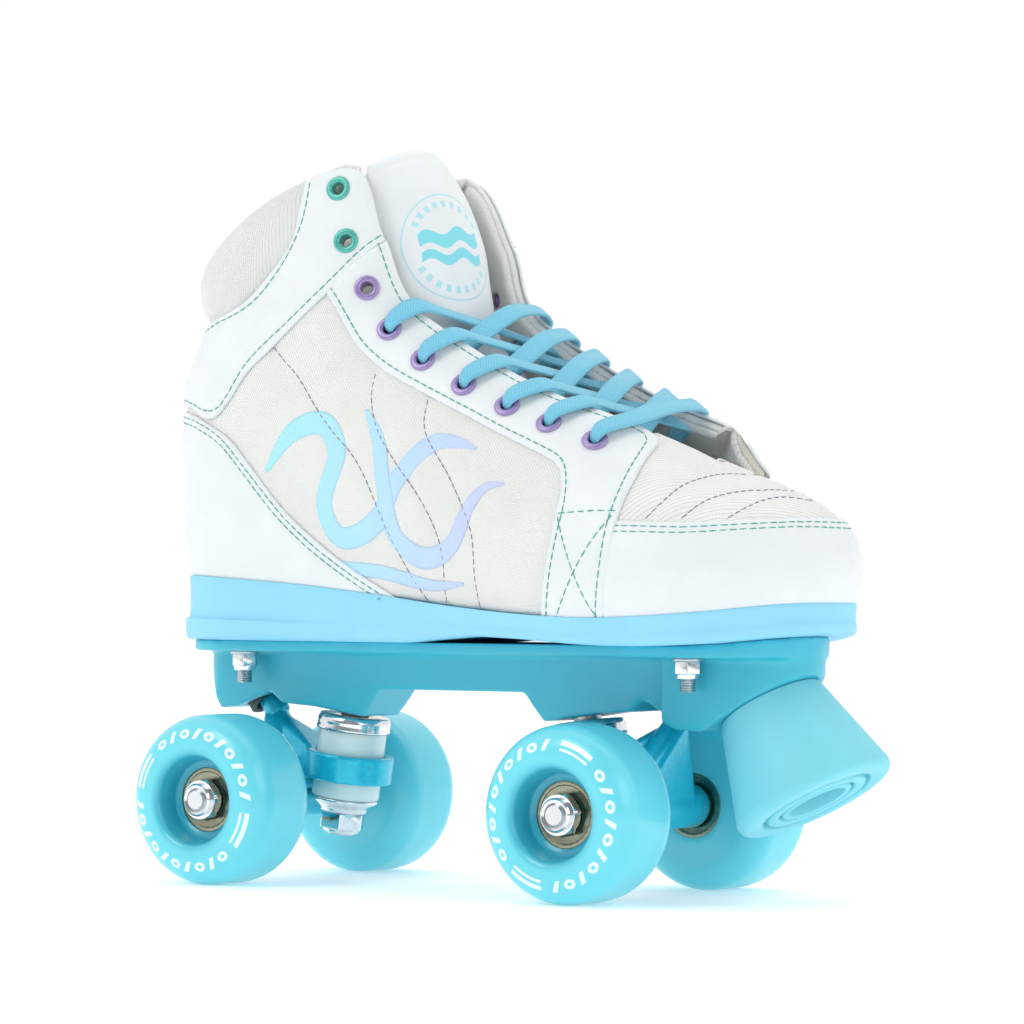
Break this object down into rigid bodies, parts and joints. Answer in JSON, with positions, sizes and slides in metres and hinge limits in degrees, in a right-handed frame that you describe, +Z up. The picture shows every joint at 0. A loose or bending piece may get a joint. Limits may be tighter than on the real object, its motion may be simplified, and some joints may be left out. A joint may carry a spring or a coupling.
{
  "type": "quad roller skate",
  "caption": "High-top lace-up quad roller skate: padded boot on a moulded plate with two sprung steering trucks, spinning wheels and a toe stop.",
  "frame": {"origin": "centre of the skate's bounding box in plan, at ground level under the wheels", "axes": "+X towards the toe, +Y to the wearer's left (the inner side of this right skate), +Z up"},
  "size_m": [0.2741, 0.1202, 0.254],
  "materials": {
    "sole": "smooth light blue moulded sole",
    "lining": "off-white padded textile",
    "canvas": "off-white fine mesh",
    "leather": "white synthetic leather with a soft sheen",
    "lace": "flat woven light blue",
    "eyelet_teal": "satin teal",
    "eyelet_purple": "satin lilac",
    "plate": "satin teal moulded nylon",
    "toe_stop": "soft light blue rubber",
    "wheel": "smooth aqua urethane",
    "cushion": "milky translucent urethane",
    "hanger": "bright cyan coating",
    "steel": "zinc plated",
    "chrome": "polished",
    "brass": "plain",
    "bearing": "gold tinted steel",
    "black_rubber": "black"
  },
  "bodies": {
    "boot_and_plate": {"outsole": "sole", "insole": "lining", "vamp": "canvas", "quarter_lateral": "canvas", "quarter_medial": "canvas", "toe_cap": "leather", "heel_counter": "leather", "ankle_strap": "leather", "eyestay_lateral": "leather", "eyestay_medial": "leather", "collar_pad": "lining", "tongue": "leather", "laces": "lace", "eyelets_teal": "eyelet_teal", "eyelets_purple": "eyelet_purple", "plate": "plate", "mounting_bolts": "steel", "mounting_washers": "steel", "mounting_nuts": "steel", "toe_stop": "toe_stop", "toe_stop_bolt": "steel", "toe_stop_insert": "brass", "pivot_cup_rear": "black_rubber", "kingpin_rear": "steel", "kingpin_nut_rear": "steel", "upper_retainer_rear": "chrome", "lower_retainer_rear": "chrome", "upper_cushion_rear": "cushion", "lower_cushion_rear": "cushion", "pivot_cup_front": "black_rubber", "kingpin_front": "steel", "kingpin_nut_front": "steel", "upper_retainer_front": "chrome", "lower_retainer_front": "chrome", "upper_cushion_front": "cushion", "lower_cushion_front": "cushion"},
    "truck_rear": {"hanger_rear": "hanger", "axle_rear": "steel", "bearing_inner_rings_rear": "bearing", "axle_washers_rear": "steel", "axle_nuts_rear": "steel"},
    "truck_front": {"hanger_front": "hanger", "axle_front": "steel", "bearing_inner_rings_front": "bearing", "axle_washers_front": "steel", "axle_nuts_front": "steel"},
    "wheel_body_rear_right": {"wheel_rear_right": "wheel", "bearing_outers_rear_right": "bearing", "bearing_balls_rear_right": "steel"},
    "wheel_body_rear_left": {"wheel_rear_left": "wheel", "bearing_outers_rear_left": "bearing", "bearing_balls_rear_left": "steel"},
    "wheel_body_front_right": {"wheel_front_right": "wheel", "bearing_outers_front_right": "bearing", "bearing_balls_front_right": "steel"},
    "wheel_body_front_left": {"wheel_front_left": "wheel", "bearing_outers_front_left": "bearing", "bearing_balls_front_left": "steel"}
  },
  "joints": [
    {"name": "steer_rear", "type": "hinge", "parent": "boot_and_plate", "child": "truck_rear", "pos_m": [-0.11091, 0, 0.06739], "axis": [0.8047, 0, -0.5937], "range_deg": [-8, 8], "stiffness_Nm_per_rad": 30, "deforming": ["upper_cushion_rear", "lower_cushion_rear"]},
    {"name": "spin_rear_right", "type": "hinge", "parent": "truck_rear", "child": "wheel_body_rear_right", "pos_m": [-0.09519, -0.0436, 0.029], "axis": [0, 1, 0], "continuous": true},
    {"name": "spin_rear_left", "type": "hinge", "parent": "truck_rear", "child": "wheel_body_rear_left", "pos_m": [-0.09519, 0.0436, 0.029], "axis": [0, 1, 0], "continuous": true},
    {"name": "steer_front", "type": "hinge", "parent": "boot_and_plate", "child": "truck_front", "pos_m": [0.06633, 0, 0.06739], "axis": [-0.8047, 0, -0.5937], "range_deg": [-8, 8], "stiffness_Nm_per_rad": 30, "deforming": ["upper_cushion_front", "lower_cushion_front"]},
    {"name": "spin_front_right", "type": "hinge", "parent": "truck_front", "child": "wheel_body_front_right", "pos_m": [0.05061, -0.0436, 0.029], "axis": [0, 1, 0], "continuous": true},
    {"name": "spin_front_left", "type": "hinge", "parent": "truck_front", "child": "wheel_body_front_left", "pos_m": [0.05061, 0.0436, 0.029], "axis": [0, 1, 0], "continuous": true}
  ]
}
